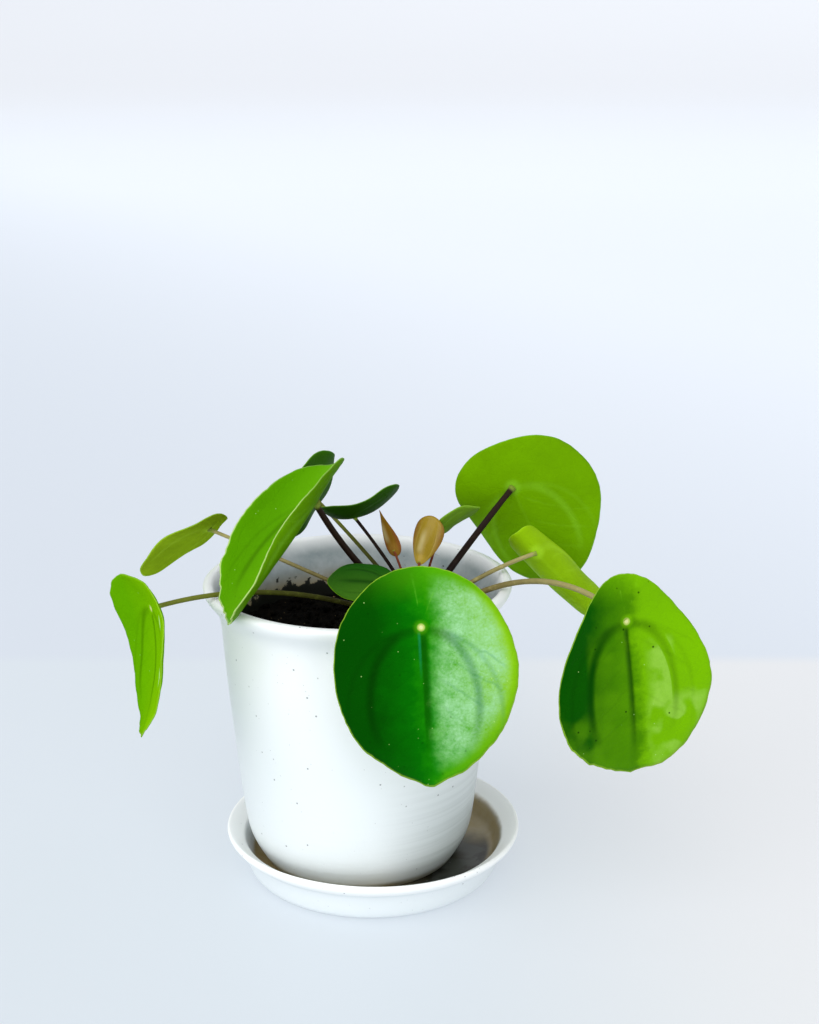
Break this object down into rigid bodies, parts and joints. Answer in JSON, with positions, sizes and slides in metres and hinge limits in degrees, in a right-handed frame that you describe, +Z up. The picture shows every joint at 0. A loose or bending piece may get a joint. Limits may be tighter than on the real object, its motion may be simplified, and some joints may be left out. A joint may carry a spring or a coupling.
{
  "type": "potted pilea plant",
  "caption": "Potted pancake plant: round shield-shaped leaves on long stalks from one short stem, in a flared speckled white pot standing off centre on a matching saucer.",
  "frame": {"origin": "middle of the saucer's underside, on the table", "axes": "+Z up, -Y towards the side with the large front leaf, +X to the right seen from there"},
  "size_m": [0.2071, 0.1338, 0.1576],
  "materials": {
    "glaze": "satin",
    "soil": "matte",
    "stem": "matte",
    "stalk": "satin",
    "leaf": "satin",
    "young_leaf": "satin"
  },
  "bodies": {
    "root": {"saucer": "glaze", "pot": "glaze", "soil": "soil", "stem": "stem", "blade_front": "leaf", "stalk_front": "stalk", "blade_right": "leaf", "stalk_right": "stalk", "blade_back_right": "leaf", "stalk_back_right": "stalk", "blade_middle_right": "leaf", "stalk_middle_right": "stalk", "blade_left": "leaf", "stalk_left": "stalk", "blade_far_left": "leaf", "stalk_far_left": "stalk", "blade_low_left": "leaf", "stalk_low_left": "stalk", "blade_back_left": "leaf", "stalk_back_left": "stalk", "blade_back": "leaf", "stalk_back": "stalk", "blade_small": "leaf", "stalk_small": "stalk", "blade_bronze": "young_leaf", "stalk_bronze": "stalk", "blade_young": "leaf", "stalk_young": "stalk", "blade_bud": "young_leaf", "stalk_bud": "stalk"}
  },
  "joints": []
}
